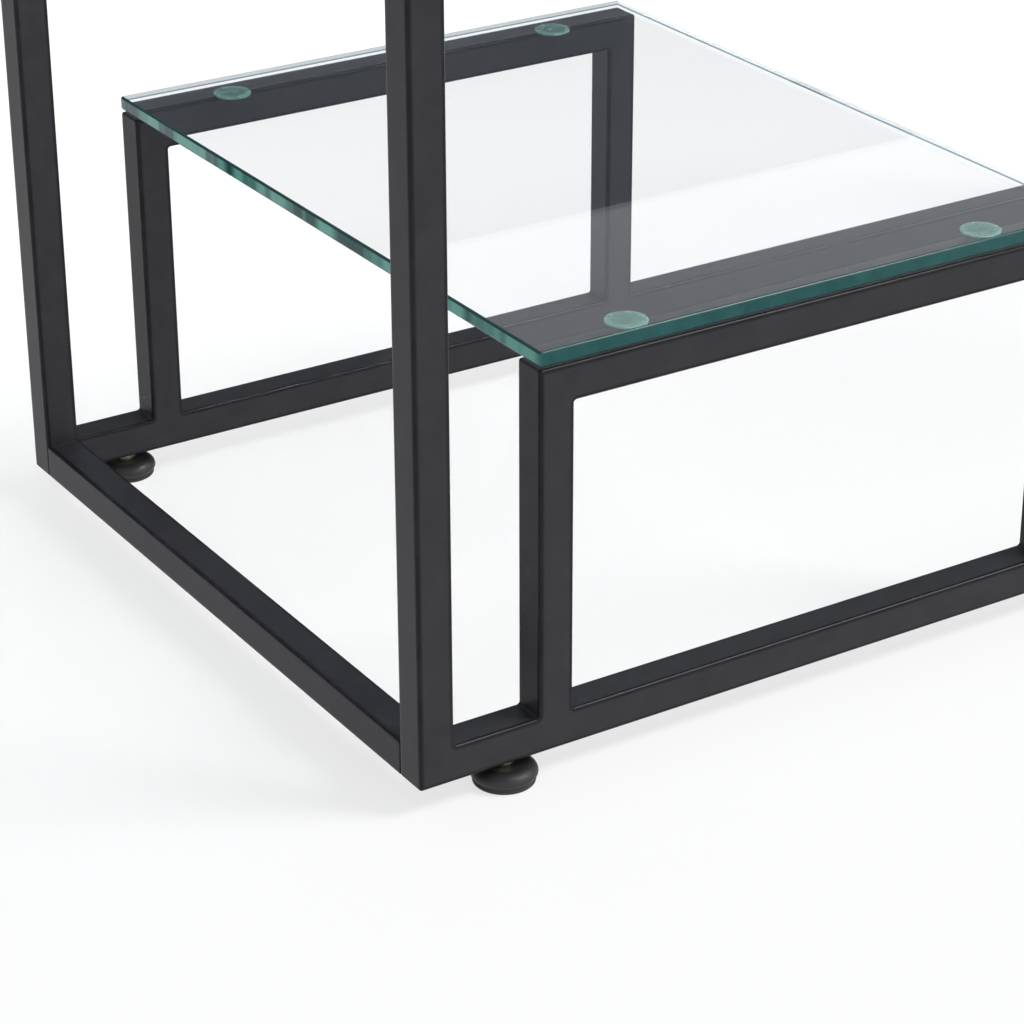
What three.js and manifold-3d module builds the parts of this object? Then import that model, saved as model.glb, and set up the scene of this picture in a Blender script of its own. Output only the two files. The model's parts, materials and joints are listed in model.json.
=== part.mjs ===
// A two-tier glass table: two welded side frames of square steel tube, four bolted cross rails, a glass
// top, a low glass on a low frame nested inside, clear pads under the glass and four levelling feet.
// Millimetres. +Z up, +X along the table away from the low frame's end, front side frame at -Y.
// Origin on the floor, below the middle of the table.
import * as THREE from "three";
import { mergeVertices } from "three/addons/utils/BufferGeometryUtils.js";
import Module from "manifold-3d";

const wasm = await Module();
wasm.setup();

// Table
const LENGTH = 900;
const DEPTH = 450;
const HEIGHT = 500;
const FLOOR_GAP = 15; // floor to the underside of the runners

// Square tube
const TUBE = 20;
const WALL = 1.5;
const TUBE_CORNER = 2;
const CORNER_STEPS = 2;

// Low frame: its place along the runner, its length, and its height above the runner's underside
const LOW_START = 70;
const LOW_LENGTH = 350;
const LOW_HEIGHT = 210;

// Glass and the clear pads that it lies on
const GLASS = 8;
const GLASS_CHAMFER = 0.8;
const GLASS_CORNER = 1.6;
const PAD = 1.5;
const PAD_RADIUS = 11;
const PAD_EDGE = 0.3;
const PAD_FROM_END = 63; // pad centre from the end of its glass
const PAD_FROM_SIDE = 20; // pad centre from the long edge of its glass

// Bolted joint of a cross rail: a square spigot inside the tube and an M6 screw from below
const FIT = 0.3; // clearance round a spigot and round a screw's shank
const SPIGOT_LENGTH = 32;
const SCREW_FROM_FRAME = 16;
const SCREW_RADIUS = 3;
const SCREW_HEAD_RADIUS = 5.5;
const SCREW_HEAD = 3.3;
const SCREW_LENGTH = 12;
const SCREW_SOCKET_RADIUS = 2.3;
const SCREW_SOCKET = 2;

// Levelling foot: M8 stem with a hexagon, turning in a snap-on pad, in a nut welded inside the runner
const FOOT_FROM_END = 55;
const STEM_RADIUS = 3.9;
const STEM_TOP = 31.5;
const STEM_TIP = 0.6;
const STEM_FLANGE_RADIUS = 5.1;
const STEM_FLANGE_BOTTOM = 2.9;
const STEM_FLANGE_TOP = 5.2;
const HEX_ACROSS = 10;
const HEX_BOTTOM = 10.8;
const HEX_TOP = 13.3;
const NUT_ACROSS = 13;
const NUT = 6.5;
const NUT_BORE = 4.2;
const STEM_HOLE = 4.6; // hole in the runner's bottom wall
const FOOT_RADIUS = 17.5;
const FOOT_HEIGHT = 10.5;
const ROUND_STEPS = 24;
const SCREW_STEPS = 16;

// Heights that follow from the ones above
const RUNNER_TOP = FLOOR_GAP + TUBE;
const FRAME_TOP = HEIGHT - GLASS - PAD;
const LOW_TOP = FLOOR_GAP + LOW_HEIGHT;
const LEFT = -LENGTH / 2;
const LOW_LEFT = LEFT + LOW_START;
const LOW_RIGHT = LOW_LEFT + LOW_LENGTH;
const SIDE_Y = DEPTH / 2 - TUBE / 2; // centre plane of a side frame
const HALF = TUBE / 2;

const MATERIALS = {
  powderCoat: { color: 0x37383b, roughness: 0.5, metalness: 0.2 },
  steel: { color: 0x9a9b9c, roughness: 0.45, metalness: 0.9 },
  zinc: { color: 0xc9c2a2, roughness: 0.35, metalness: 0.9 },
  glass: { color: 0x9cc9bd, roughness: 0.03, metalness: 0, transparent: true, opacity: 0.35 },
  clearPad: { color: 0xa9d0c2, roughness: 0.2, metalness: 0, transparent: true, opacity: 0.6 },
  nylon: { color: 0x1b1b1c, roughness: 0.45, metalness: 0 },
};

const table = new THREE.Group();

function add(parent, name, geometry, material, position = [0, 0, 0], rotation = [0, 0, 0]) {
  const mesh = new THREE.Mesh(geometry, new THREE.MeshStandardMaterial(MATERIALS[material]));
  mesh.name = name;
  mesh.position.set(...position);
  mesh.rotation.set(...rotation);
  parent.add(mesh);
  return mesh;
}

// ---- booleans ----

function solid(geometry) {
  const bare = geometry.clone();
  bare.deleteAttribute("normal");
  bare.deleteAttribute("uv");
  const merged = mergeVertices(bare, 1e-4);
  const vertProperties = merged.attributes.position.array;
  const triVerts = new Uint32Array(merged.index.array);
  return new wasm.Manifold(new wasm.Mesh({ numProp: 3, vertProperties, triVerts }));
}

function geometryOf(manifold) {
  const { vertProperties, triVerts } = manifold.getMesh();
  const geometry = new THREE.BufferGeometry();
  geometry.setAttribute("position", new THREE.BufferAttribute(vertProperties, 3));
  geometry.setIndex(new THREE.BufferAttribute(triVerts, 1));
  return geometry;
}

function cut(geometry, ...tools) {
  let left = solid(geometry);
  for (const tool of tools) left = left.subtract(solid(tool));
  return geometryOf(left);
}

// A cylinder along +Z from z = low to z = high.
function rod(radius, low, high, steps = ROUND_STEPS) {
  const geometry = new THREE.CylinderGeometry(radius, radius, high - low, steps);
  geometry.rotateX(Math.PI / 2);
  geometry.translate(0, 0, (low + high) / 2);
  return geometry;
}

// A hexagonal prism along +Z.
function hexagon(across, low, high) {
  return rod(across / Math.sqrt(3), low, high, 6);
}

// A body of revolution about Z from [radius, height] points that run upwards on the outside.
function turned(points, steps = ROUND_STEPS) {
  const outline = points.map(([radius, height]) => new THREE.Vector2(radius, height));
  const geometry = new THREE.LatheGeometry(outline, steps);
  geometry.rotateX(Math.PI / 2);
  return geometry;
}

// ---- square tube ----

function tubeSection() {
  const flat = HALF - TUBE_CORNER;
  const section = new THREE.Shape();
  section.moveTo(HALF, -flat);
  section.lineTo(HALF, flat);
  section.absarc(flat, flat, TUBE_CORNER, 0, Math.PI / 2);
  section.lineTo(-flat, HALF);
  section.absarc(-flat, flat, TUBE_CORNER, Math.PI / 2, Math.PI);
  section.lineTo(-HALF, -flat);
  section.absarc(-flat, -flat, TUBE_CORNER, Math.PI, 1.5 * Math.PI);
  section.lineTo(flat, -HALF);
  section.absarc(flat, -flat, TUBE_CORNER, 1.5 * Math.PI, 2 * Math.PI);
  const hollow = HALF - WALL;
  const bore = new THREE.Path();
  bore.moveTo(hollow, -hollow);
  bore.lineTo(hollow, hollow);
  bore.lineTo(-hollow, hollow);
  bore.lineTo(-hollow, -hollow);
  bore.closePath();
  section.holes.push(bore);
  return section;
}

// A tube along +Z, from z = low to z = high on its face at x = -TUBE / 2. A mitred end is cut at 45
// degrees, so that it is one tube width shorter on the face at x = +TUBE / 2.
function tube(low, high, { mitreLow = false, mitreHigh = false } = {}) {
  const geometry = new THREE.ExtrudeGeometry(tubeSection(), {
    depth: high - low,
    bevelEnabled: false,
    curveSegments: CORNER_STEPS,
  });
  const position = geometry.attributes.position;
  const middle = (high - low) / 2;
  for (let i = 0; i < position.count; i++) {
    const inset = position.getX(i) + HALF;
    const atHigh = position.getZ(i) > middle;
    if (atHigh && mitreHigh) position.setZ(i, high - low - inset);
    if (!atHigh && mitreLow) position.setZ(i, inset);
  }
  geometry.translate(0, 0, low);
  return geometry;
}

// ---- side frames ----

function runnerGeometry() {
  const runner = tube(0, LENGTH, { mitreLow: true, mitreHigh: true });
  const holes = [FOOT_FROM_END, LENGTH - FOOT_FROM_END].map((along) => {
    const hole = rod(STEM_HOLE, -HALF - 1, -HALF + WALL + 1);
    hole.rotateY(Math.PI / 2);
    hole.translate(0, 0, along);
    return hole;
  });
  return cut(runner, ...holes);
}

function sideFrame(side, y) {
  const frame = new THREE.Group();
  frame.position.set(0, y, 0);
  table.add(frame);
  const mitred = { mitreLow: true, mitreHigh: true };
  const quarter = Math.PI / 2;
  const posts = [
    ["post_left", LEFT + HALF, 0],
    ["post_right", -LEFT - HALF, Math.PI],
  ];
  for (const [name, x, turn] of posts) {
    const height = FRAME_TOP - FLOOR_GAP;
    add(frame, `${side}_${name}`, tube(0, height, mitred), "powderCoat", [x, 0, FLOOR_GAP], [0, 0, turn]);
  }
  // The outside face of a rail is turned down on the runner and up on the top rail and the low rail.
  const down = [0, quarter, 0];
  const up = [0, -quarter, 0];
  const runnerAt = [LEFT, 0, FLOOR_GAP + HALF];
  const runner = runnerGeometry();
  runner.rotateZ(Math.PI);
  add(frame, `${side}_runner`, runner, "powderCoat", runnerAt, down);
  const topAt = [-LEFT, 0, FRAME_TOP - HALF];
  const top = tube(0, LENGTH, mitred);
  top.rotateZ(Math.PI);
  add(frame, `${side}_top_rail`, top, "powderCoat", topAt, up);
  const lowPosts = [
    ["low_post_left", LOW_LEFT + HALF, 0],
    ["low_post_right", LOW_RIGHT - HALF, Math.PI],
  ];
  for (const [name, x, turn] of lowPosts) {
    const upright = tube(RUNNER_TOP, LOW_TOP, { mitreHigh: true });
    add(frame, `${side}_${name}`, upright, "powderCoat", [x, 0, 0], [0, 0, turn]);
  }
  const lowRail = tube(0, LOW_LENGTH, mitred);
  lowRail.rotateZ(Math.PI);
  add(frame, `${side}_low_rail`, lowRail, "powderCoat", [LOW_RIGHT, 0, LOW_TOP - HALF], up);
}

// ---- cross rails and their bolted joints ----

// Along +Y, between the side frames, with a screw hole through the bottom wall near each end.
function crossRailGeometry() {
  const length = DEPTH - 2 * TUBE;
  const rail = tube(0, length);
  const holes = [SCREW_FROM_FRAME, length - SCREW_FROM_FRAME].map((along) => {
    const hole = rod(SCREW_RADIUS + FIT, HALF - WALL - 1, HALF + 1, SCREW_STEPS);
    hole.rotateX(-Math.PI / 2);
    hole.translate(0, 0, along);
    return hole;
  });
  return cut(rail, ...holes);
}

// A square block with a screw hole up through it, from y = 0 to y = SPIGOT_LENGTH.
function spigotGeometry() {
  const width = TUBE - 2 * WALL - 2 * FIT;
  const block = new THREE.BoxGeometry(width, SPIGOT_LENGTH, width);
  block.translate(0, SPIGOT_LENGTH / 2, 0);
  const hole = rod(SCREW_RADIUS + FIT, -TUBE, TUBE, SCREW_STEPS);
  hole.translate(0, SCREW_FROM_FRAME, 0);
  return cut(block, hole);
}

// A button-head screw pointing up: its head lies under z = 0, its shank above.
function screwGeometry() {
  const body = turned(
    [
      [0, -SCREW_HEAD],
      [SCREW_SOCKET_RADIUS + 1, -SCREW_HEAD],
      [SCREW_HEAD_RADIUS - 0.6, -SCREW_HEAD * 0.62],
      [SCREW_HEAD_RADIUS, -SCREW_HEAD * 0.25],
      [SCREW_HEAD_RADIUS, 0],
      [SCREW_RADIUS, 0],
      [SCREW_RADIUS, SCREW_LENGTH - 0.6],
      [SCREW_RADIUS - 0.6, SCREW_LENGTH],
      [0, SCREW_LENGTH],
    ],
    SCREW_STEPS,
  );
  return cut(body, rod(SCREW_SOCKET_RADIUS, -SCREW_HEAD - 1, -SCREW_HEAD + SCREW_SOCKET, 6));
}

function crossRail(name, x, bottom) {
  const inside = DEPTH / 2 - TUBE;
  const middle = bottom + HALF;
  const ends = [
    ["front", -1],
    ["rear", 1],
  ];
  const rail = crossRailGeometry();
  rail.rotateX(-Math.PI / 2);
  add(table, `cross_rail_${name}`, rail, "powderCoat", [x, -inside, middle]);
  for (const [end, sign] of ends) {
    const turn = [0, 0, sign > 0 ? Math.PI : 0];
    add(table, `spigot_${name}_${end}`, spigotGeometry(), "steel", [x, sign * inside, middle], turn);
    const screwY = sign * (inside - SCREW_FROM_FRAME);
    add(table, `screw_${name}_${end}`, screwGeometry(), "zinc", [x, screwY, bottom]);
  }
}

// ---- glass and its pads ----

function paneGeometry(length) {
  const halfLength = length / 2;
  const halfDepth = DEPTH / 2;
  const outline = new THREE.Shape();
  outline.moveTo(-halfLength + GLASS_CORNER, -halfDepth);
  outline.lineTo(halfLength - GLASS_CORNER, -halfDepth);
  outline.lineTo(halfLength, -halfDepth + GLASS_CORNER);
  outline.lineTo(halfLength, halfDepth - GLASS_CORNER);
  outline.lineTo(halfLength - GLASS_CORNER, halfDepth);
  outline.lineTo(-halfLength + GLASS_CORNER, halfDepth);
  outline.lineTo(-halfLength, halfDepth - GLASS_CORNER);
  outline.lineTo(-halfLength, -halfDepth + GLASS_CORNER);
  outline.closePath();
  const pane = new THREE.ExtrudeGeometry(outline, {
    depth: GLASS - 2 * GLASS_CHAMFER,
    bevelEnabled: true,
    bevelThickness: GLASS_CHAMFER,
    bevelSize: GLASS_CHAMFER,
    bevelOffset: -GLASS_CHAMFER,
    bevelSegments: 1,
  });
  pane.translate(0, 0, GLASS_CHAMFER);
  return pane;
}

function padGeometry() {
  return turned([
    [0, 0],
    [PAD_RADIUS - PAD_EDGE, 0],
    [PAD_RADIUS, PAD_EDGE],
    [PAD_RADIUS, PAD - PAD_EDGE],
    [PAD_RADIUS - PAD_EDGE, PAD],
    [0, PAD],
  ]);
}

function glassOnPads(name, left, right, rest, rows) {
  const middle = (left + right) / 2;
  add(table, `${name}_glass`, paneGeometry(right - left), "glass", [middle, 0, rest + PAD]);
  const reach = (right - left) / 2 - PAD_FROM_END;
  const padY = DEPTH / 2 - PAD_FROM_SIDE;
  for (const [row, place] of rows) {
    for (const [side, sign] of [["front", -1], ["rear", 1]]) {
      const at = [middle + place * reach, sign * padY, rest];
      add(table, `${name}_pad_${side}_${row}`, padGeometry(), "clearPad", at);
    }
  }
}

// ---- levelling feet ----

function footPadGeometry() {
  return turned([
    [0, 0],
    [FOOT_RADIUS - 1.8, 0],
    [FOOT_RADIUS - 0.5, 0.5],
    [FOOT_RADIUS, 1.6],
    [FOOT_RADIUS, 3.2],
    [FOOT_RADIUS - 0.6, 4.2],
    [FOOT_RADIUS - 2, 4.9],
    [7, FOOT_HEIGHT - 0.7],
    [6.2, FOOT_HEIGHT],
    [STEM_RADIUS + FIT, FOOT_HEIGHT],
    [STEM_RADIUS + FIT, STEM_FLANGE_TOP + FIT],
    [STEM_FLANGE_RADIUS + FIT, STEM_FLANGE_TOP + FIT],
    [STEM_FLANGE_RADIUS + FIT, STEM_FLANGE_BOTTOM - FIT],
    [0, STEM_FLANGE_BOTTOM - FIT],
  ]);
}

function stemGeometry() {
  const stem = turned([
    [0, STEM_FLANGE_BOTTOM],
    [STEM_FLANGE_RADIUS, STEM_FLANGE_BOTTOM],
    [STEM_FLANGE_RADIUS, STEM_FLANGE_TOP],
    [STEM_RADIUS, STEM_FLANGE_TOP],
    [STEM_RADIUS, STEM_TOP - STEM_TIP],
    [STEM_RADIUS - STEM_TIP, STEM_TOP],
    [0, STEM_TOP],
  ]);
  return geometryOf(solid(stem).add(solid(hexagon(HEX_ACROSS, HEX_BOTTOM, HEX_TOP))));
}

function nutGeometry() {
  return cut(hexagon(NUT_ACROSS, 0, NUT), rod(NUT_BORE, -1, NUT + 1));
}

function levellingFoot(place, x, y) {
  add(table, `foot_nut_${place}`, nutGeometry(), "steel", [x, y, FLOOR_GAP + WALL]);
  add(table, `foot_stem_${place}`, stemGeometry(), "zinc", [x, y, 0]);
  add(table, `foot_pad_${place}`, footPadGeometry(), "nylon", [x, y, 0]);
}

// ---- the table ----

sideFrame("front", -SIDE_Y);
sideFrame("rear", SIDE_Y);
for (const [end, sign] of [["left", -1], ["right", 1]]) {
  const x = sign * (LENGTH / 2 - HALF);
  crossRail(`bottom_${end}`, x, FLOOR_GAP);
  crossRail(`top_${end}`, x, FRAME_TOP - TUBE);
}
glassOnPads("low", LOW_LEFT, LOW_RIGHT, LOW_TOP, [["left", -1], ["right", 1]]);
glassOnPads("top", LEFT, -LEFT, FRAME_TOP, [["left", -1], ["middle", 0], ["right", 1]]);
for (const [side, sideSign] of [["front", -1], ["rear", 1]]) {
  for (const [end, endSign] of [["left", -1], ["right", 1]]) {
    levellingFoot(`${side}_${end}`, endSign * (LENGTH / 2 - FOOT_FROM_END), sideSign * SIDE_Y);
  }
}

export default table;
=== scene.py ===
import json
import math

import bmesh
import bpy
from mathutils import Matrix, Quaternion, Vector
from mathutils.geometry import tessellate_polygon


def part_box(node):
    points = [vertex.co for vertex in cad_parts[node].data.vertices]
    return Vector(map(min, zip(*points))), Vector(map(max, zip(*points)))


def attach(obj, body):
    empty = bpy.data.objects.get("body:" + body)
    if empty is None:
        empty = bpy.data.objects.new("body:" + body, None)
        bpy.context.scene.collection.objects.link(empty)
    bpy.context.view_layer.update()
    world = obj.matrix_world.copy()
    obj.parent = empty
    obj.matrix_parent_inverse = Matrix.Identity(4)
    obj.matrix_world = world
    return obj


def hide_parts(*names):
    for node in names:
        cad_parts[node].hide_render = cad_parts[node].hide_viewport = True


# A two-tier table: clear glass on a frame of black square tube, with a low glass-topped table welded
# inside it at one end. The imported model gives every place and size; this script makes the surfaces.
# Lengths are in metres, +Z is up, +X runs along the table away from its low end, -Y is its front.

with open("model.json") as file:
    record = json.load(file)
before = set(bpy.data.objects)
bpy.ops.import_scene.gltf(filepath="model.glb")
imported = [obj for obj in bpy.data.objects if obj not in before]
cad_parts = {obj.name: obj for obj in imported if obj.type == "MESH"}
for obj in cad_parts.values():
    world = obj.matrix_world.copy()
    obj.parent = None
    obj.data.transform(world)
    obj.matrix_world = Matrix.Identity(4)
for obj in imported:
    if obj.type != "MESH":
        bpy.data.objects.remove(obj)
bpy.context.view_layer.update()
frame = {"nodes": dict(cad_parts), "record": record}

MM = 0.001

SIDES = ("front", "rear")
ENDS = ("left", "right")
LEVELS = ("bottom", "top")

# Fineness of the meshes
CORNER_STEPS = 5
ROUND_STEPS = 48
DRILL_STEPS = 40
SAME_POINT = 0.002 * MM
NO_LENGTH = 0.001 * MM
CREASE = 40

# Square tube. Beside each rounded edge lies a flat band, where the coat's painted edge shade fades out.
TUBE_WALL = 1.5 * MM
TUBE_EDGE = 1.6 * MM
EDGE_BAND = 1.4 * MM
WELD_FILLET = 1.6 * MM
RAIL_END_EDGE = 0.5 * MM
BORE_CORNER = 0.2 * MM
STEM_HOLE_RADIUS = 4.6 * MM
SCREW_HOLE_RADIUS = 3.3 * MM
DRILL_MARGIN = 1 * MM

# Button-head screw under a cross rail
SHANK_RADIUS = 3 * MM
SHANK_CHAMFER = 0.6 * MM
KEY_FLATS = 2.0 * MM
KEY_CORNERS = 2.3 * MM
KEY_DEPTH = 2.0 * MM
HEAD_EDGE = 0.2 * MM

# Glass. It refracts less than real glass does, so that the panes mirror as little as in the photo.
ARRIS = 0.9 * MM
ARRIS_EASE = 0.25 * MM
GLASS_CORNER = 1.6 * MM
GLASS_IOR = 1.24

# Levelling foot: its socket holds the stem's flange, and the mouth above the socket lets the stem out
FOOT_RECESS = 0.6 * MM
FOOT_BAND = 1.2 * MM
FOOT_BAND_SET_BACK = 1.1 * MM
FOOT_WIDEST = 5.5 * MM
FOOT_BELLY = 2.2 * MM
FOOT_SHOULDER = 6.5 * MM
FOOT_BROW_DROP = 0.2 * MM
FOOT_SLOPE_DROP = 0.7 * MM
FOOT_SINK = 0.9 * MM
FOOT_STEPS = 64
SOCKET_RADIUS = 5.5 * MM
SOCKET_FLOOR = 2.6 * MM
SOCKET_ROOF = 5.5 * MM
MOUTH_RADIUS = 4.15 * MM
MOUTH_CHAMFER = 0.35 * MM
MOUTH_LIP = 0.3 * MM
FLANGE_RADIUS = 5.1 * MM
FLANGE_THICK = 2.3 * MM
FLANGE_CHAMFER = 0.3 * MM
STEM_RADIUS = 3.9 * MM
NECK_RADIUS = 3.5 * MM
NECK_LENGTH = 0.5 * MM
HEX_LOW = 10.8 * MM
HEX_HIGH = 13.3 * MM
HEX_CHAMFER = 0.55 * MM
STEM_STEPS = 36
THREAD_PITCH = 1.25 * MM
THREAD_DEPTH = 0.6 * MM
THREAD_STEPS = 6
THREAD_STOP = 0.8 * MM
STEM_TIP = 0.5 * MM

# Finishes: noise spreads each pair of colours, and each pair of roughnesses
NOISE_MIDDLE = (0.3, 0.7)
COAT_COLOURS = ((0.0224, 0.0219, 0.0254, 1.0), (0.0286, 0.0280, 0.0323, 1.0))
# Painted shade: the darker colour the coat takes on the tubes' rounded edges
PAINTED_EDGE_SHADE = (0.0065, 0.0062, 0.0070, 1.0)
COAT_ROUGHNESS = (0.36, 0.46)
COAT_EDGE_SMOOTHER = -0.18
COAT_SPECULAR = 0.15
ZINC_COLOURS = ((0.62, 0.56, 0.42, 1.0), (0.78, 0.74, 0.62, 1.0))
ZINC_ROUGHNESS = (0.22, 0.42)
STEEL_COLOURS = ((0.42, 0.41, 0.40, 1.0), (0.56, 0.55, 0.53, 1.0))
STEEL_ROUGHNESS = (0.30, 0.50)
NYLON_COLOURS = ((0.007, 0.007, 0.007, 1.0), (0.012, 0.012, 0.012, 1.0))
NYLON_ROUGHNESS = (0.42, 0.6)
PAD_COLOURS = ((0.078, 0.200, 0.172, 1.0), (0.088, 0.213, 0.184, 1.0))
# Painted highlight: the lighter colour of the pad's rim
PAD_RIM_HIGHLIGHT = (0.165, 0.35, 0.305, 1.0)
PAD_ROUGHNESS = (0.22, 0.30)
PAD_CLEARNESS = 0.15
PAD_IOR = 1.41
GLASS_TINT = (0.996, 1.0, 1.0, 1.0)
GLASS_SHADOW = (0.66, 0.665, 0.665, 1.0)
GLASS_SMEAR = (0.0, 0.018)
EDGE_SHADOW = (0.6, 0.75, 0.73, 1.0)
ARRIS_COLOURS = ((0.007, 0.050, 0.048, 1.0), (0.012, 0.070, 0.066, 1.0))
ARRIS_INNER = (0.32, 0.42, 0.48, 1.0)
WALL_COLOURS = ((0.010, 0.056, 0.055, 1.0), (0.017, 0.080, 0.078, 1.0))
WALL_INNER = (0.86, 0.91, 0.92, 1.0)
WALL_PALE = (0.12, 0.34, 0.29, 1.0)

# Camera, from the low end's front corner
CAMERA_AT = Vector((-1.1221, -1.3700, 0.8208))
CAMERA_AIM = Vector((-0.4011, -0.2329, 0.1596))
CAMERA_ROLL = math.radians(-0.17)
CAMERA_LENS = 110.25

# Studio floor: it glows as well as catching light, as a light table does, and more so at the rear
FLOOR_SIZE = 60.0
FLOOR_COLOURS = ((0.270, 0.270, 0.270, 1.0), (0.276, 0.276, 0.276, 1.0))
FLOOR_GLOW = (0.69, 0.80)
FLOOR_GLOW_DEPTHS = (0.15, 0.50)
FLOOR_ROUGHNESS = 0.9
FLOOR_SPECULAR = 0.1

# Light tent: colours, and the stretch of X, Y or Z of a direction over which each one comes in
TENT = (0.97, 0.985, 1.0, 1.0)
TENT_STRENGTH = 1.45
LEFT_SIDE = (0.60, 0.61, 0.63, 1.0)
LEFT_RANGE = (-0.2, -0.9)
OVERHEAD = (0.32, 0.33, 0.35, 1.0)
OVERHEAD_RANGE = (0.40, 0.80)
REAR_DARK = (0.070, 0.083, 0.097, 1.0)
REAR_RANGE = (0.05, 0.40)
REAR_TOP_RANGE = (0.85, 0.70)

# Lamps
SUN_FROM = Vector((0.52, -0.40, 0.755))
SUN_STRENGTH = 1.9
SUN_ANGLE = math.radians(20)
SOFTBOX_WIDTH = 7.0
SOFTBOX_HEIGHT = 1.6
SOFTBOX_COLOUR = (0.93, 0.97, 1.0)
SOFTBOX_RADIANCE = 0.58
SOFTBOX_LOW_EDGE = Vector((1.2, 2.1, 1.225))


# Meshes

def walk(corners):
    """Each corner of a closed outline, with the directions in which the walk arrives and leaves."""
    for index, at in enumerate(corners):
        arriving = (at - corners[index - 1]).normalized()
        leaving = (corners[(index + 1) % len(corners)] - at).normalized()
        yield at, arriving, leaving


def into_material(arriving, leaving):
    """How a corner moves for each metre that its two sides move into the material, on the walk's left."""
    return Vector((-arriving.y - leaving.y, arriving.x + leaving.x))


def rounded_loop(corners, radius, inset):
    """The closed right-angled outline, moved inset into the material and rounded at its corners."""
    loop = []
    for at, arriving, leaving in walk(corners):
        inward = into_material(arriving, leaving)
        bend = arriving.cross(leaving)
        reach = max(radius - bend * inset, 0)
        centre = at + inward * inset + (leaving - arriving) * reach
        for step in range(CORNER_STEPS + 1):
            turn = math.pi / 2 * step / CORNER_STEPS
            loop.append(centre - (leaving * math.cos(turn) - arriving * math.sin(turn)) * reach)
    return loop


def rectangle(low, high, hole=False):
    """A rectangle's corners, walked so that the material is on the left: inside it, or outside a hole."""
    corners = [Vector(low), Vector((high[0], low[1])), Vector(high), Vector((low[0], high[1]))]
    return corners[::-1] if hole else corners


def upright(point, depth):
    """A point of an outline that stands in the XZ plane."""
    return Vector((point.x, depth, point.y))


def flat(point, depth):
    """A point of an outline that lies in the XY plane."""
    return Vector((point.x, point.y, depth))


def round_edge(radius, band):
    """Edge profile as (inset, rise, edge share): a quarter round between two narrow flat bands."""
    turns = [math.pi / 2 * step / CORNER_STEPS for step in range(CORNER_STEPS + 1)]
    arc = [(radius * (1 - math.sin(turn)), radius * (1 - math.cos(turn)), 1.0) for turn in turns]
    return [(radius + band, 0.0, 0.0)] + arc + [(0.0, radius + band, 0.0)]


def ground_edge(width, ease):
    """Edge profile of glass: a 45 degree arris whose two edges are eased."""
    across = [(width + ease, 0.0, 0.0), (width - ease, ease, 1.0)]
    down = [(ease, width - ease, 1.0), (0.0, width + ease, 0.0)]
    return across + down


def edge_share(bm):
    """The layer that says how far a point belongs to an edge, which materials read as "edge"."""
    return bm.verts.layers.float.get("edge") or bm.verts.layers.float.new("edge")


def add_prism(bm, outlines, radius, low, high, profile, place, materials=(0, 0, 0), inside_out=False):
    """A closed solid between two parallel faces. Each outline is a loop of corners, the first the outer
    one and the others holes. profile shapes the edges, and materials are for face, edge and wall."""
    share = edge_share(bm)
    sections = [(inset, low + rise, edge) for inset, rise, edge in profile]
    sections += [(inset, high - rise, edge) for inset, rise, edge in reversed(profile)]
    rings = []
    for inset, depth, edge in sections:
        loops = []
        for outline in outlines:
            loop = [bm.verts.new(place(point, depth)) for point in rounded_loop(outline, radius, inset)]
            for vert in loop:
                vert[share] = edge
            loops.append(loop)
        rings.append(loops)
    made = []
    for index in range(len(rings) - 1):
        wall = index == len(profile) - 1
        for lower, upper in zip(rings[index], rings[index + 1]):
            for k in range(len(lower)):
                face = bm.faces.new((lower[k - 1], lower[k], upper[k], upper[k - 1]))
                face.material_index = materials[2 if wall else 1]
                made.append(face)
    for loops, depth in ((rings[0], low), (rings[-1], high)):
        verts = [vert for loop in loops for vert in loop]
        outline_points = [[vert.co for vert in loop] for loop in loops]
        for triangle in tessellate_polygon(outline_points):
            face = bm.faces.new([verts[corner] for corner in triangle])
            face.material_index = materials[0]
            made.append(face)
    clean(bm, made, inside_out)


def clean(bm, faces, inside_out=False):
    """Merges the points that meet, drops faces with no area and turns the rest the right way out."""
    verts = list({vert for face in faces for vert in face.verts})
    bmesh.ops.remove_doubles(bm, verts=verts, dist=SAME_POINT)
    faces = [face for face in faces if face.is_valid]
    edges = list({edge for face in faces for edge in face.edges})
    bmesh.ops.dissolve_degenerate(bm, dist=NO_LENGTH, edges=edges)
    faces = [face for face in faces if face.is_valid]
    bmesh.ops.recalc_face_normals(bm, faces=faces)
    if inside_out:
        bmesh.ops.reverse_faces(bm, faces=faces)


def add_turned(bm, centre, stations, steps=ROUND_STEPS, rim=None):
    """A body round the upright line through centre. A station is a height and a radius, or a function
    that gives the radius at an angle; a radius of 0 closes the body on the line. rim is the radius
    beyond which the surface counts as edge."""
    share = edge_share(bm)
    rings = []
    for height, radius in stations:
        if radius == 0:
            rings.append([bm.verts.new(centre + Vector((0, 0, height)))])
            continue
        ring = []
        for step in range(steps):
            turn = 2 * math.pi * step / steps
            reach = radius(turn) if callable(radius) else radius
            vert = bm.verts.new(centre + Vector((reach * math.cos(turn), reach * math.sin(turn), height)))
            vert[share] = 1.0 if rim and reach > rim else 0.0
            ring.append(vert)
        rings.append(ring)
    made = []
    for lower, upper in zip(rings, rings[1:]):
        for k in range(steps):
            corners = [lower[k - 1], lower[k]] if len(lower) > 1 else [lower[0]]
            corners += [upper[k], upper[k - 1]] if len(upper) > 1 else [upper[0]]
            made.append(bm.faces.new(corners))
    bmesh.ops.recalc_face_normals(bm, faces=made)


def arc_stations(height, radius, reach, start, stop, steps=5, rise=None):
    """Points of a round about (height, radius), between two angles up from level. It reaches out by
    reach and up by rise, which is the same when it isn't given."""
    rise = rise or reach
    turns = [math.radians(start + (stop - start) * step / steps) for step in range(steps + 1)]
    return [(height + rise * math.sin(turn), radius + reach * math.cos(turn)) for turn in turns]


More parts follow.
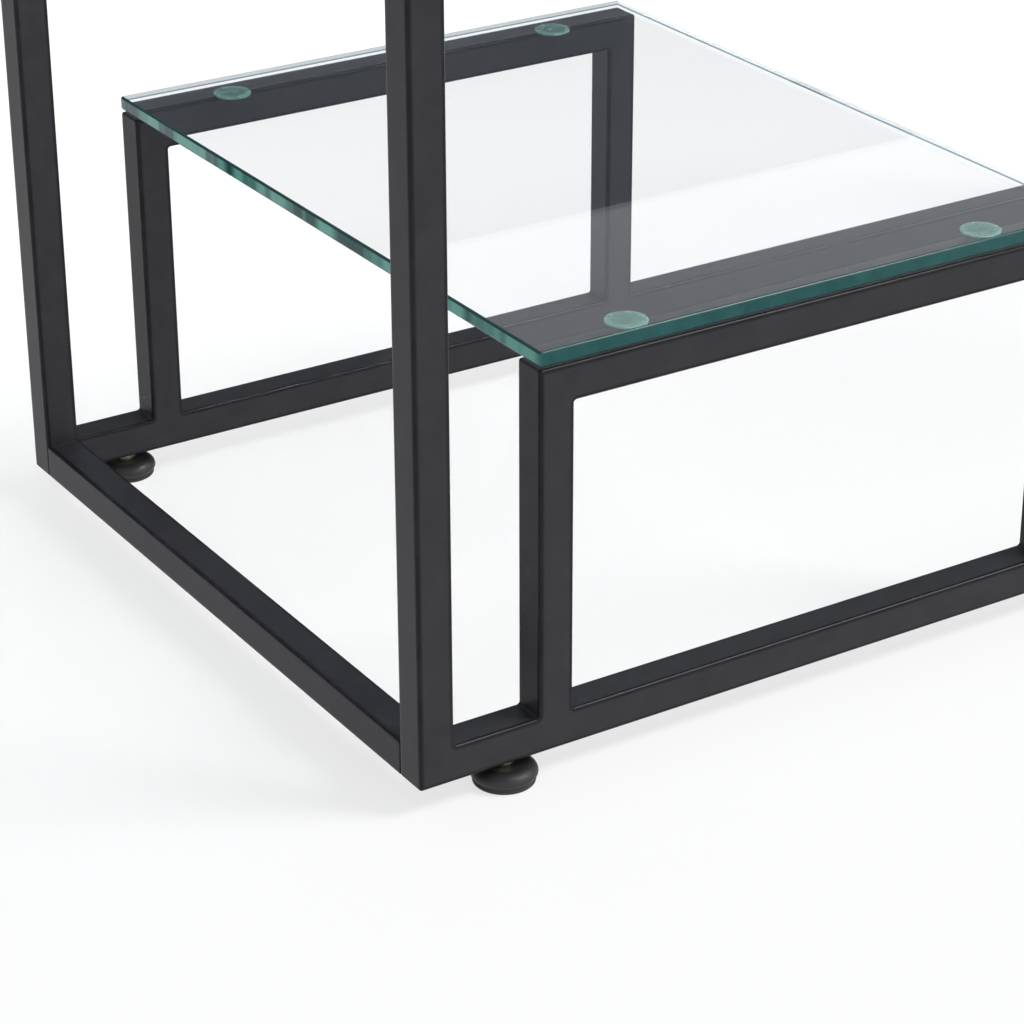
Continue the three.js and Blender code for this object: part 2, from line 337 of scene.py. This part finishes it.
def hexagon(flats, limit):
    """Radius of a hexagon at an angle: flats from its middle to each side, and cut back to limit where
    its corners are turned off."""
    sector = math.pi / 3

    def reach(turn):
        off = (turn + sector / 2) % sector - sector / 2
        return min(limit, flats / math.cos(off))

    return reach


def lower_middle(node):
    """The middle of a CAD node's lower face."""
    low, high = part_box(node)
    return Vector(((low.x + high.x) / 2, (low.y + high.y) / 2, low.z))


def into_scene(thing):
    bpy.context.scene.collection.objects.link(thing)
    return thing


def object_from(bm, name):
    """The finished mesh as an object in the scene."""
    mesh = bpy.data.meshes.new(name)
    bm.to_mesh(mesh)
    bm.free()
    return into_scene(bpy.data.objects.new(name, mesh))


def make_piece(name, bm, body, materials, nodes, crease=CREASE):
    """The finished mesh as a piece that rides on a body and stands for the CAD nodes."""
    piece = object_from(bm, name)
    for material in materials:
        piece.data.materials.append(material)
    piece.data.shade_smooth()
    piece.data.set_sharp_from_angle(angle=math.radians(crease))
    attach(piece, body)
    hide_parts(*nodes)
    return piece


def drill(piece, nodes, underside, radius):
    """Cuts a round hole up through the tube wall that starts at underside, under each of the nodes."""
    depth = TUBE_WALL + 2 * DRILL_MARGIN
    bm = bmesh.new()
    for node in nodes:
        start = lower_middle(node)
        start.z = underside - DRILL_MARGIN
        add_turned(bm, start, [(0, 0), (0, radius), (depth, radius), (depth, 0)], steps=DRILL_STEPS)
    cutter = object_from(bm, "drill")
    cut = piece.modifiers.new("holes", "BOOLEAN")
    cut.operation = "DIFFERENCE"
    cut.solver = "EXACT"
    cut.object = cutter
    bpy.context.view_layer.update()
    evaluated = piece.evaluated_get(bpy.context.evaluated_depsgraph_get())
    drilled = bpy.data.meshes.new_from_object(evaluated)
    piece.modifiers.clear()
    drilled.name = piece.data.name
    piece.data = drilled
    piece.data.set_sharp_from_angle(angle=math.radians(CREASE))
    bpy.data.objects.remove(cutter)


# Materials

def new_material(name):
    material = bpy.data.materials.new(name)
    material.use_nodes = True
    tree = material.node_tree
    return material, tree, tree.nodes["Principled BSDF"]


def add_node(tree, kind, inputs=None, **settings):
    """A node with its settings, and its inputs each set to a value or linked to a socket."""
    made = tree.nodes.new(kind)
    for key, value in settings.items():
        setattr(made, key, value)
    for key, value in (inputs or {}).items():
        if isinstance(value, bpy.types.NodeSocket):
            tree.links.new(value, made.inputs[key])
        else:
            made.inputs[key].default_value = value
    return made


def place_in_part(tree):
    return add_node(tree, "ShaderNodeTexCoord").outputs["Object"]


def axes(tree, vector):
    """A vector's X, Y and Z sockets, by name."""
    return add_node(tree, "ShaderNodeSeparateXYZ", {0: vector}).outputs


def edge_of_mesh(tree):
    """How far a place belongs to an edge of its mesh."""
    return add_node(tree, "ShaderNodeAttribute", attribute_name="edge").outputs["Fac"]


def maths(tree, operation, first, second):
    return add_node(tree, "ShaderNodeMath", {0: first, 1: second}, operation=operation).outputs[0]


def ramp(tree, value, span, low=0.0, high=1.0):
    """low where the value is at the start of the span, high at its end, and in between inside it."""
    inputs = {"Value": value, "From Min": span[0], "From Max": span[1], "To Min": low, "To Max": high}
    return add_node(tree, "ShaderNodeMapRange", inputs).outputs["Result"]


def mix_shaders(tree, share, first, second):
    return add_node(tree, "ShaderNodeMixShader", {0: share, 1: first, 2: second}).outputs[0]


def noise(tree, scale, detail=2.0, roughness=0.5, at=None):
    """Noise over the part's own coordinates; scale is in repeats a metre."""
    vector = at or place_in_part(tree)
    inputs = {"Vector": vector, "Scale": scale, "Detail": detail, "Roughness": roughness}
    return add_node(tree, "ShaderNodeTexNoise", inputs).outputs["Fac"]


def spread(tree, value, low=0.0, high=1.0):
    """A noise's middle range, spread between two values."""
    return ramp(tree, value, NOISE_MIDDLE, low, high)


def blend_colours(tree, share, first, second):
    """The first colour where share is 0 and the second where it is 1. Either can be a socket."""
    inputs = {"Factor": share, "A": first, "B": second}
    mix = tree.nodes.new("ShaderNodeMix")
    mix.data_type = "RGBA"
    for socket in mix.inputs:
        if socket.enabled and socket.name in inputs:
            value = inputs[socket.name]
            if isinstance(value, bpy.types.NodeSocket):
                tree.links.new(value, socket)
            else:
                socket.default_value = value
    return next(socket for socket in mix.outputs if socket.enabled)


def bump(tree, shader, heights):
    """Chains (height socket, distance, strength) bumps into the shader's normal."""
    normal = None
    for height, distance, strength in heights:
        inputs = {"Height": height, "Distance": distance, "Strength": strength}
        if normal:
            inputs["Normal"] = normal
        normal = add_node(tree, "ShaderNodeBump", inputs).outputs["Normal"]
    tree.links.new(normal, shader.inputs["Normal"])


def powder_coat():
    """Satin black powder coat: fine grain over a slight orange peel. The tube's rounded edges are
    smoother, and painted shade makes them darker."""
    material, tree, shader = new_material("powder_coat")
    mottle = spread(tree, noise(tree, 60, 4, 0.6))
    base = blend_colours(tree, mottle, *COAT_COLOURS)
    # Painted shade: the rounded edges are blended toward a darker colour, and the same mask makes them
    # smoother
    edge_shade_and_gloss = maths(tree, "MULTIPLY", edge_of_mesh(tree), spread(tree, noise(tree, 45, 3), 0.7, 1.0))
    tree.links.new(blend_colours(tree, edge_shade_and_gloss, base, PAINTED_EDGE_SHADE), shader.inputs["Base Color"])
    grain = noise(tree, 2600, 2, 0.6)
    smoother = maths(tree, "MULTIPLY", edge_shade_and_gloss, COAT_EDGE_SMOOTHER)
    rough = maths(tree, "ADD", spread(tree, grain, *COAT_ROUGHNESS), smoother)
    tree.links.new(rough, shader.inputs["Roughness"])
    shader.inputs["Specular IOR Level"].default_value = COAT_SPECULAR
    bump(tree, shader, [(noise(tree, 420, 2), 0.04 * MM, 0.35), (grain, 0.03 * MM, 0.5)])
    return material


def metal(name, colours, roughness, scale, scratch_depth):
    """Bare or plated steel with a patchy colour and fine scratches."""
    material, tree, shader = new_material(name)
    shader.inputs["Metallic"].default_value = 1.0
    patch = spread(tree, noise(tree, scale, 4, 0.6))
    tree.links.new(blend_colours(tree, patch, *colours), shader.inputs["Base Color"])
    fine = noise(tree, scale * 9, 3, 0.7)
    tree.links.new(spread(tree, fine, *roughness), shader.inputs["Roughness"])
    bump(tree, shader, [(fine, scratch_depth, 0.6)])
    return material


def foot_nylon():
    """Black moulded nylon with a fine spark-eroded grain."""
    material, tree, shader = new_material("foot_nylon")
    grain = noise(tree, 3200, 3, 0.6)
    patch = spread(tree, noise(tree, 220, 3))
    tree.links.new(blend_colours(tree, patch, *NYLON_COLOURS), shader.inputs["Base Color"])
    tree.links.new(spread(tree, grain, *NYLON_ROUGHNESS), shader.inputs["Roughness"])
    bump(tree, shader, [(grain, 0.05 * MM, 0.5)])
    return material


def clear_pad():
    """Clear soft pad pressed against the glass: smooth and pale green, with a painted highlight that
    lightens its rim.
    """
    material, tree, shader = new_material("clear_pad")
    cloud = spread(tree, noise(tree, 90))
    pressed = blend_colours(tree, cloud, *PAD_COLOURS)
    # Painted highlight: the rim is blended toward a lighter colour
    coloured = blend_colours(tree, edge_of_mesh(tree), pressed, PAD_RIM_HIGHLIGHT)
    tree.links.new(coloured, shader.inputs["Base Color"])
    tree.links.new(spread(tree, cloud, *PAD_ROUGHNESS), shader.inputs["Roughness"])
    shader.inputs["Transmission Weight"].default_value = PAD_CLEARNESS
    shader.inputs["IOR"].default_value = PAD_IOR
    bump(tree, shader, [(noise(tree, 900), 0.01 * MM, 0.3)])
    return material


def let_light_through(tree, surface, tint):
    """The glass casts a pale, tinted shadow instead of a black one. The tint is darker than the glass,
    because part of the light behind it also comes through as refracted rays."""
    clear = add_node(tree, "ShaderNodeBsdfTransparent", {"Color": tint}).outputs[0]
    shadow_ray = add_node(tree, "ShaderNodeLightPath").outputs["Is Shadow Ray"]
    mixed = mix_shaders(tree, shadow_ray, surface, clear)
    tree.links.new(mixed, tree.nodes["Material Output"].inputs["Surface"])


def glass_face():
    """Clear float glass, faintly uneven."""
    material, tree, shader = new_material("glass_face")
    shader.inputs["Base Color"].default_value = GLASS_TINT
    shader.inputs["Transmission Weight"].default_value = 1.0
    shader.inputs["IOR"].default_value = GLASS_IOR
    smear = spread(tree, noise(tree, 9, 3, 0.6), *GLASS_SMEAR)
    tree.links.new(smear, shader.inputs["Roughness"])
    let_light_through(tree, shader.outputs[0], GLASS_SHADOW)
    return material


def glass_edge(name, colours, specular, roughness, inner, clouding, pale=None):
    """A worked edge: deep green from outside, where it shows the long way through the pane. pale is
    the colour of the light stretches along the short edges; inner is the tint met from inside."""
    material, tree, shader = new_material(name)
    streak = spread(tree, noise(tree, 70, 4, 0.65))
    colour = blend_colours(tree, streak, *colours)
    if pale:
        colour = blend_colours(tree, pale_stretches(tree), colour, pale)
    tree.links.new(colour, shader.inputs["Base Color"])
    grind = noise(tree, 1500, 3, 0.6)
    tree.links.new(spread(tree, grind, *roughness), shader.inputs["Roughness"])
    shader.inputs["IOR"].default_value = GLASS_IOR
    shader.inputs["Specular IOR Level"].default_value = specular
    bump(tree, shader, [(grind, 0.008 * MM, 0.2)])
    inside = add_node(tree, "ShaderNodeNewGeometry").outputs["Backfacing"]
    surface = mix_shaders(tree, inside, shader.outputs[0], edge_from_inside(tree, inner, clouding))
    let_light_through(tree, surface, EDGE_SHADOW)
    return material


def pale_stretches(tree):
    """Where the short edges of a pane catch light from along its length, in stretches of 1 to 3 cm."""
    place = axes(tree, place_in_part(tree))
    along = add_node(tree, "ShaderNodeCombineXYZ", {"X": place["X"], "Y": place["Y"]}).outputs[0]
    stretch = ramp(tree, noise(tree, 32, 2, 0.7, at=along), (0.42, 0.56))
    facing = add_node(tree, "ShaderNodeNewGeometry").outputs["True Normal"]
    on_short_edge = maths(tree, "POWER", axes(tree, facing)["X"], 2)
    return maths(tree, "MULTIPLY", stretch, on_short_edge)


def edge_from_inside(tree, tint, clouding):
    """An edge seen through the pane: partly clear, partly clouded by its grinding."""
    clear = add_node(tree, "ShaderNodeBsdfTransparent", {"Color": tint}).outputs[0]
    clouded = add_node(tree, "ShaderNodeBsdfTranslucent", {"Color": tint}).outputs[0]
    return mix_shaders(tree, clouding, clear, clouded)


def floor_paint():
    """White matt floor, lit from below."""
    material, tree, shader = new_material("studio_floor")
    drift = spread(tree, noise(tree, 0.8))
    tree.links.new(blend_colours(tree, drift, *FLOOR_COLOURS), shader.inputs["Base Color"])
    shader.inputs["Emission Color"].default_value = (1.0, 1.0, 1.0, 1.0)
    glow = ramp(tree, axes(tree, place_in_part(tree))["Y"], FLOOR_GLOW_DEPTHS, *FLOOR_GLOW)
    tree.links.new(glow, shader.inputs["Emission Strength"])
    shader.inputs["Roughness"].default_value = FLOOR_ROUGHNESS
    shader.inputs["Specular IOR Level"].default_value = FLOOR_SPECULAR
    return material


COAT = powder_coat()
ZINC = metal("zinc", ZINC_COLOURS, ZINC_ROUGHNESS, scale=260, scratch_depth=0.02 * MM)
BARE_STEEL = metal("bare_steel", STEEL_COLOURS, STEEL_ROUGHNESS, scale=140, scratch_depth=0.03 * MM)
NYLON = foot_nylon()
PAD = clear_pad()
GLASS_FACE = glass_face()
GLASS_ARRIS = glass_edge("glass_arris", ARRIS_COLOURS, specular=1.0, roughness=(0.18, 0.28),
                         inner=ARRIS_INNER, clouding=0.6)
GLASS_WALL = glass_edge("glass_wall", WALL_COLOURS, specular=0.5, roughness=(0.06, 0.16),
                        inner=WALL_INNER, clouding=0.8, pale=WALL_PALE)


# The frame

def side_frame(side):
    """Runner, posts, rails and low uprights of one side: tube welded with the joints ground flush."""
    low_rail_low, low_rail_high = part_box(f"{side}_low_rail")
    runner_low, runner_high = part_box(f"{side}_runner")
    top_low, top_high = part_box(f"{side}_top_rail")
    post_low, post_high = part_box(f"{side}_post_left")
    left_low, left_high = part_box(f"{side}_low_post_left")
    right_low, right_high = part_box(f"{side}_low_post_right")
    far_low, far_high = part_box(f"{side}_post_right")
    outer = rectangle((post_low.x, runner_low.z), (far_high.x, top_high.z))
    under_low_rail = rectangle((left_high.x, runner_high.z), (right_low.x, low_rail_low.z), hole=True)
    around = [
        Vector((post_high.x, runner_high.z)),
        Vector((post_high.x, top_low.z)),
        Vector((far_low.x, top_low.z)),
        Vector((far_low.x, runner_high.z)),
        Vector((right_high.x, runner_high.z)),
        Vector((right_high.x, low_rail_high.z)),
        Vector((left_low.x, low_rail_high.z)),
        Vector((left_low.x, runner_high.z)),
    ]
    outlines = [outer, under_low_rail, around]
    low, high = post_low.y, post_high.y
    bm = bmesh.new()
    add_prism(bm, outlines, WELD_FILLET, low, high, round_edge(TUBE_EDGE, EDGE_BAND), upright)
    hollow = [moved_in(outline, TUBE_WALL) for outline in outlines]
    sharp = [(0.0, 0.0, 0.0)]
    add_prism(bm, hollow, 0, low + TUBE_WALL, high - TUBE_WALL, sharp, upright, inside_out=True)
    names = ("runner", "post_left", "post_right", "top_rail", "low_rail", "low_post_left", "low_post_right")
    nodes = [f"{side}_{name}" for name in names]
    piece = make_piece(f"{side}_side_frame", bm, "table", [COAT], nodes)
    drill(piece, [f"foot_stem_{side}_{end}" for end in ENDS], runner_low.z, STEM_HOLE_RADIUS)


def moved_in(outline, distance):
    """The outline with each corner moved so that its sides lie a distance into the material."""
    return [at + into_material(arriving, leaving) * distance for at, arriving, leaving in walk(outline)]


def cross_rail(level, end):
    """One tube between the side frames, cut square, with its ends just eased so that the seam shows."""
    node = f"cross_rail_{level}_{end}"
    low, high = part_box(node)
    outer = rectangle((low.x, low.z), (high.x, high.z))
    wall = Vector((TUBE_WALL, TUBE_WALL))
    bore = rectangle(Vector((low.x, low.z)) + wall, Vector((high.x, high.z)) - wall, hole=True)
    bm = bmesh.new()
    add_tube(bm, outer, bore, low.y, high.y)
    piece = make_piece(node + "_tube", bm, "table", [COAT], [node])
    drill(piece, [f"screw_{level}_{end}_{side}" for side in SIDES], low.z, SCREW_HOLE_RADIUS)


def rail_screw(level, end, side):
    """Button-head screw pointing up into a cross rail, with a hexagonal socket in its head."""
    node = f"screw_{level}_{end}_{side}"
    low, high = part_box(node)
    head = (high.x - low.x) / 2
    key = hexagon(KEY_FLATS, KEY_CORNERS)
    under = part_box(f"cross_rail_{level}_{end}")[0].z - low.z
    length = high.z - low.z
    stations = [(KEY_DEPTH, 0), (KEY_DEPTH, key), (0, key), (0, head * 0.55), (under * 0.12, head * 0.68)]
    stations += arc_stations(under * 0.72, head * 0.5, head * 0.5, -60, 0, steps=6, rise=under * 0.6)
    stations += [(under * 0.93, head), (under, head - HEAD_EDGE), (under, SHANK_RADIUS)]
    stations += [(length - SHANK_CHAMFER, SHANK_RADIUS), (length, SHANK_RADIUS - SHANK_CHAMFER), (length, 0)]
    bm = bmesh.new()
    add_turned(bm, lower_middle(node), stations)
    make_piece(node + "_button", bm, "table", [ZINC], [node], crease=35)


def add_tube(bm, outer, bore, low, high):
    """A tube with rounded corners along Y: the outside eased at both ends, and a plain bore."""
    share = edge_share(bm)
    profile = [(inset, rise) for inset, rise, _ in round_edge(RAIL_END_EDGE, EDGE_BAND)[1:]]
    sections = [(inset, low + rise) for inset, rise in profile]
    sections += [(inset, high - rise) for inset, rise in reversed(profile)]
    rings = []
    for inset, depth in sections:
        rings.append([bm.verts.new(upright(point, depth)) for point in tube_section(outer, inset)])
    inner = []
    for depth in (low, high):
        loop = rounded_loop(bore, BORE_CORNER, 0)
        inner.append([bm.verts.new(upright(point, depth)) for point in loop][::-1])
    for ring in rings:
        for vert, value in zip(ring, tube_section_share()):
            vert[share] = value
    made = []
    for lower, upper in zip(rings, rings[1:]):
        for k in range(len(lower)):
            made.append(bm.faces.new((lower[k - 1], lower[k], upper[k], upper[k - 1])))
    for k in range(len(inner[0])):
        made.append(bm.faces.new((inner[0][k], inner[0][k - 1], inner[1][k - 1], inner[1][k])))
    for ring, loop in ((rings[0], inner[0]), (rings[-1], inner[1])):
        verts = ring + loop
        for triangle in tessellate_polygon([[vert.co for vert in ring], [vert.co for vert in loop]]):
            made.append(bm.faces.new([verts[corner] for corner in triangle]))
    clean(bm, made)


def tube_section(corners, inset):
    """The outside of a square tube's section, with a narrow flat band beside each rounded corner."""
    loop = rounded_loop(corners, TUBE_EDGE, inset)
    per_corner = CORNER_STEPS + 1
    banded = []
    for index, (_, arriving, leaving) in enumerate(walk(corners)):
        arc = loop[index * per_corner:(index + 1) * per_corner]
        banded += [arc[0] - arriving * EDGE_BAND] + arc + [arc[-1] + leaving * EDGE_BAND]
    return banded


def tube_section_share():
    """The edge share of each point of a tube's section: 1 on its four rounds and 0 beside them."""
    corner = [0.0] + [1.0] * (CORNER_STEPS + 1) + [0.0]
    return corner * 4


# Glass and pads

def pane(node):
    """A sheet of clear glass with ground arrises and polished green edges."""
    low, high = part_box(node)
    bm = bmesh.new()
    outline = rectangle((low.x, low.y), (high.x, high.y))
    profile = ground_edge(ARRIS, ARRIS_EASE)
    add_prism(bm, [outline], GLASS_CORNER, low.z, high.z, profile, flat, materials=(0, 1, 2))
    materials = [GLASS_FACE, GLASS_ARRIS, GLASS_WALL]
    make_piece(node + "_pane", bm, "table", materials, [node], crease=20)


def pad(node):
    """A clear self-adhesive pad, rounded at the rim and barely domed."""
    low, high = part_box(node)
    radius = (high.x - low.x) / 2
    thick = high.z - low.z
    rim = thick * 0.5
    dome = 0.04 * MM
    bulge = arc_stations(rim, radius - rim, rim, -90, 90, steps=6)
    stations = [(0, 0), (0, radius * 0.5)]
    stations += [(height * (1 - dome / thick), reach) for height, reach in bulge]
    stations += [(thick - dome * 0.5, radius * 0.6), (thick - dome * 0.2, radius * 0.3)]
    stations += [(thick - dome * 0.2, 0)]
    bm = bmesh.new()
    add_turned(bm, lower_middle(node), stations, rim=radius * 0.93)
    make_piece(node + "_disc", bm, "table", [PAD], [node], crease=60)


# Levelling feet

def foot_pad(side, end):
    """Round nylon foot: a low band, a groove, then a puck with a round shoulder that sinks to the
    mouth, and the socket inside it."""
    node = f"foot_pad_{side}_{end}"
    low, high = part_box(node)
    radius = (high.x - low.x) / 2
    top = high.z - low.z
    lip = top - FOOT_SINK
    stations = [(FOOT_RECESS, 0), (FOOT_RECESS, radius * 0.5), (0, radius * 0.56)]
    stations += arc_stations(FOOT_BAND, radius - FOOT_BAND_SET_BACK - FOOT_BAND, FOOT_BAND, -90, 60)
    stations += arc_stations(FOOT_WIDEST, radius - FOOT_BELLY, FOOT_BELLY, -75, -15)
    puck = top - FOOT_WIDEST
    stations += arc_stations(FOOT_WIDEST, radius - FOOT_SHOULDER, FOOT_SHOULDER, 0, 90, steps=10, rise=puck)
    stations += [(top - FOOT_BROW_DROP, radius * 0.45), (top - FOOT_SLOPE_DROP, radius * 0.37)]
    stations += [(lip, MOUTH_RADIUS + MOUTH_CHAMFER), (lip - MOUTH_LIP, MOUTH_RADIUS)]
    stations += [(SOCKET_ROOF, MOUTH_RADIUS), (SOCKET_ROOF, SOCKET_RADIUS)]
    stations += [(SOCKET_FLOOR, SOCKET_RADIUS), (SOCKET_FLOOR, 0)]
    bm = bmesh.new()
    add_turned(bm, lower_middle(node), stations, steps=FOOT_STEPS)
    make_piece(node + "_moulded", bm, f"foot_{side}_{end}", [NYLON], [node], crease=50)


def thread(radius, height):
    """Radius of a right-hand thread at a height, as a function of the angle."""
    def reach(turn):
        along = (height / THREAD_PITCH - turn / (2 * math.pi)) % 1.0
        return radius - THREAD_DEPTH * min(1.0, abs(2 * along - 1) * 1.25)

    return reach


def foot_stem(side, end):
    """Plated stem: a flange held in the foot, a hexagon for the spanner and a cut thread above it."""
    node = f"foot_stem_{side}_{end}"
    low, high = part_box(node)
    bottom, top = low.z, high.z
    corner = max(high.x - low.x, high.y - low.y) / 2
    flats = corner * math.cos(math.pi / 6)
    hexagonal = hexagon(flats, corner)
    chamfered = hexagon(flats, corner - HEX_CHAMFER)
    flange_top = bottom + FLANGE_THICK
    flange_end = FLANGE_RADIUS - FLANGE_CHAMFER
    stations = [(bottom, 0), (bottom, flange_end), (bottom + FLANGE_CHAMFER, FLANGE_RADIUS)]
    stations += [(flange_top - FLANGE_CHAMFER, FLANGE_RADIUS), (flange_top, flange_end)]
    stations += [(flange_top, STEM_RADIUS), (HEX_LOW, STEM_RADIUS), (HEX_LOW, chamfered)]
    stations += [(HEX_LOW + HEX_CHAMFER / 2, hexagonal), (HEX_HIGH - HEX_CHAMFER / 2, hexagonal)]
    stations += [(HEX_HIGH, chamfered), (HEX_HIGH, NECK_RADIUS), (HEX_HIGH + NECK_LENGTH, NECK_RADIUS)]
    rise = THREAD_PITCH / THREAD_STEPS
    height = HEX_HIGH + NECK_LENGTH + rise
    while height < top - THREAD_STOP:
        stations.append((height, thread(STEM_RADIUS, height)))
        height += rise
    stations += [(top - STEM_TIP, NECK_RADIUS), (top, NECK_RADIUS - STEM_TIP), (top, 0)]
    floor_point = lower_middle(node)
    floor_point.z = 0
    bm = bmesh.new()
    add_turned(bm, floor_point, stations, steps=STEM_STEPS)
    make_piece(node + "_threaded", bm, f"stem_{side}_{end}", [ZINC], [node], crease=35)


def dress_cad_nodes():
    """The spigots and weld nuts keep their CAD shape, and take the finish of bare steel."""
    for subpart in frame["record"]["subparts"]:
        if subpart["material_slot"] == "bare_steel":
            node = frame["nodes"][subpart["node"]]
            node.data.materials.clear()
            node.data.materials.append(BARE_STEEL)


# Studio

def studio_floor():
    bm = bmesh.new()
    bmesh.ops.create_grid(bm, x_segments=8, y_segments=8, size=FLOOR_SIZE / 2)
    floor = object_from(bm, "studio_floor")
    floor.data.materials.append(floor_paint())


def lamps():
    """A broad sun from above the front right, and a softbox behind the table that the glass mirrors."""
    sun = bpy.data.lights.new("overhead", "SUN")
    sun.energy = SUN_STRENGTH
    sun.angle = SUN_ANGLE
    aim(into_scene(bpy.data.objects.new("overhead", sun)), SUN_FROM, Vector((0, 0, 0)))

    softbox = bpy.data.lights.new("rear_softbox", "AREA")
    softbox.shape = "RECTANGLE"
    softbox.size = SOFTBOX_WIDTH
    softbox.size_y = SOFTBOX_HEIGHT
    softbox.color = SOFTBOX_COLOUR
    softbox.energy = SOFTBOX_RADIANCE * math.pi * SOFTBOX_WIDTH * SOFTBOX_HEIGHT
    middle = SOFTBOX_LOW_EDGE + Vector((0, 0, SOFTBOX_HEIGHT / 2))
    lamp = into_scene(bpy.data.objects.new("rear_softbox", softbox))
    aim(lamp, middle, middle + Vector((0, -1, 0)))


def light_tent():
    """White walls, greyer at the left and overhead, and a dark gap at the rear that the glass mirrors.
    The camera sees a plain white backdrop instead."""
    world = bpy.data.worlds.new("studio")
    world.use_nodes = True
    tree = world.node_tree
    tent = tree.nodes["Background"]
    direction = axes(tree, add_node(tree, "ShaderNodeTexCoord").outputs["Generated"])
    walls = blend_colours(tree, ramp(tree, direction["X"], LEFT_RANGE), TENT, LEFT_SIDE)
    roofed = blend_colours(tree, ramp(tree, direction["Z"], OVERHEAD_RANGE), walls, OVERHEAD)
    rear = ramp(tree, direction["Y"], REAR_RANGE)
    gap = maths(tree, "MULTIPLY", rear, ramp(tree, direction["Z"], REAR_TOP_RANGE))
    tree.links.new(blend_colours(tree, gap, roofed, REAR_DARK), tent.inputs["Color"])
    tent.inputs["Strength"].default_value = TENT_STRENGTH
    backdrop = add_node(tree, "ShaderNodeBackground", {"Color": TENT, "Strength": 1.0}).outputs[0]
    seen = add_node(tree, "ShaderNodeLightPath").outputs["Is Camera Ray"]
    shown = mix_shaders(tree, seen, tent.outputs[0], backdrop)
    tree.links.new(shown, tree.nodes["World Output"].inputs["Surface"])
    bpy.context.scene.world = world


def aim(thing, at, target, roll=0.0):
    thing.location = at
    turn = (target - at).to_track_quat("-Z", "Y") @ Quaternion((0, 0, 1), roll)
    thing.rotation_euler = turn.to_euler()


def camera():
    lens = bpy.data.cameras.new("camera")
    lens.lens = CAMERA_LENS
    lens.clip_start = 0.01
    lens.clip_end = 50
    eye = into_scene(bpy.data.objects.new("camera", lens))
    aim(eye, CAMERA_AT, CAMERA_AIM, CAMERA_ROLL)
    bpy.context.scene.camera = eye


camera()
studio_floor()
light_tent()
lamps()

for side in SIDES:
    side_frame(side)
    for end in ENDS:
        foot_pad(side, end)
        foot_stem(side, end)
        pad(f"low_pad_{side}_{end}")
    for where in ("left", "middle", "right"):
        pad(f"top_pad_{side}_{where}")
for level in LEVELS:
    for end in ENDS:
        cross_rail(level, end)
        for side in SIDES:
            rail_screw(level, end, side)
pane("low_glass")
pane("top_glass")
dress_cad_nodes()

bpy.context.scene.view_settings.view_transform = "Standard"
bpy.context.scene.view_settings.look = "None"
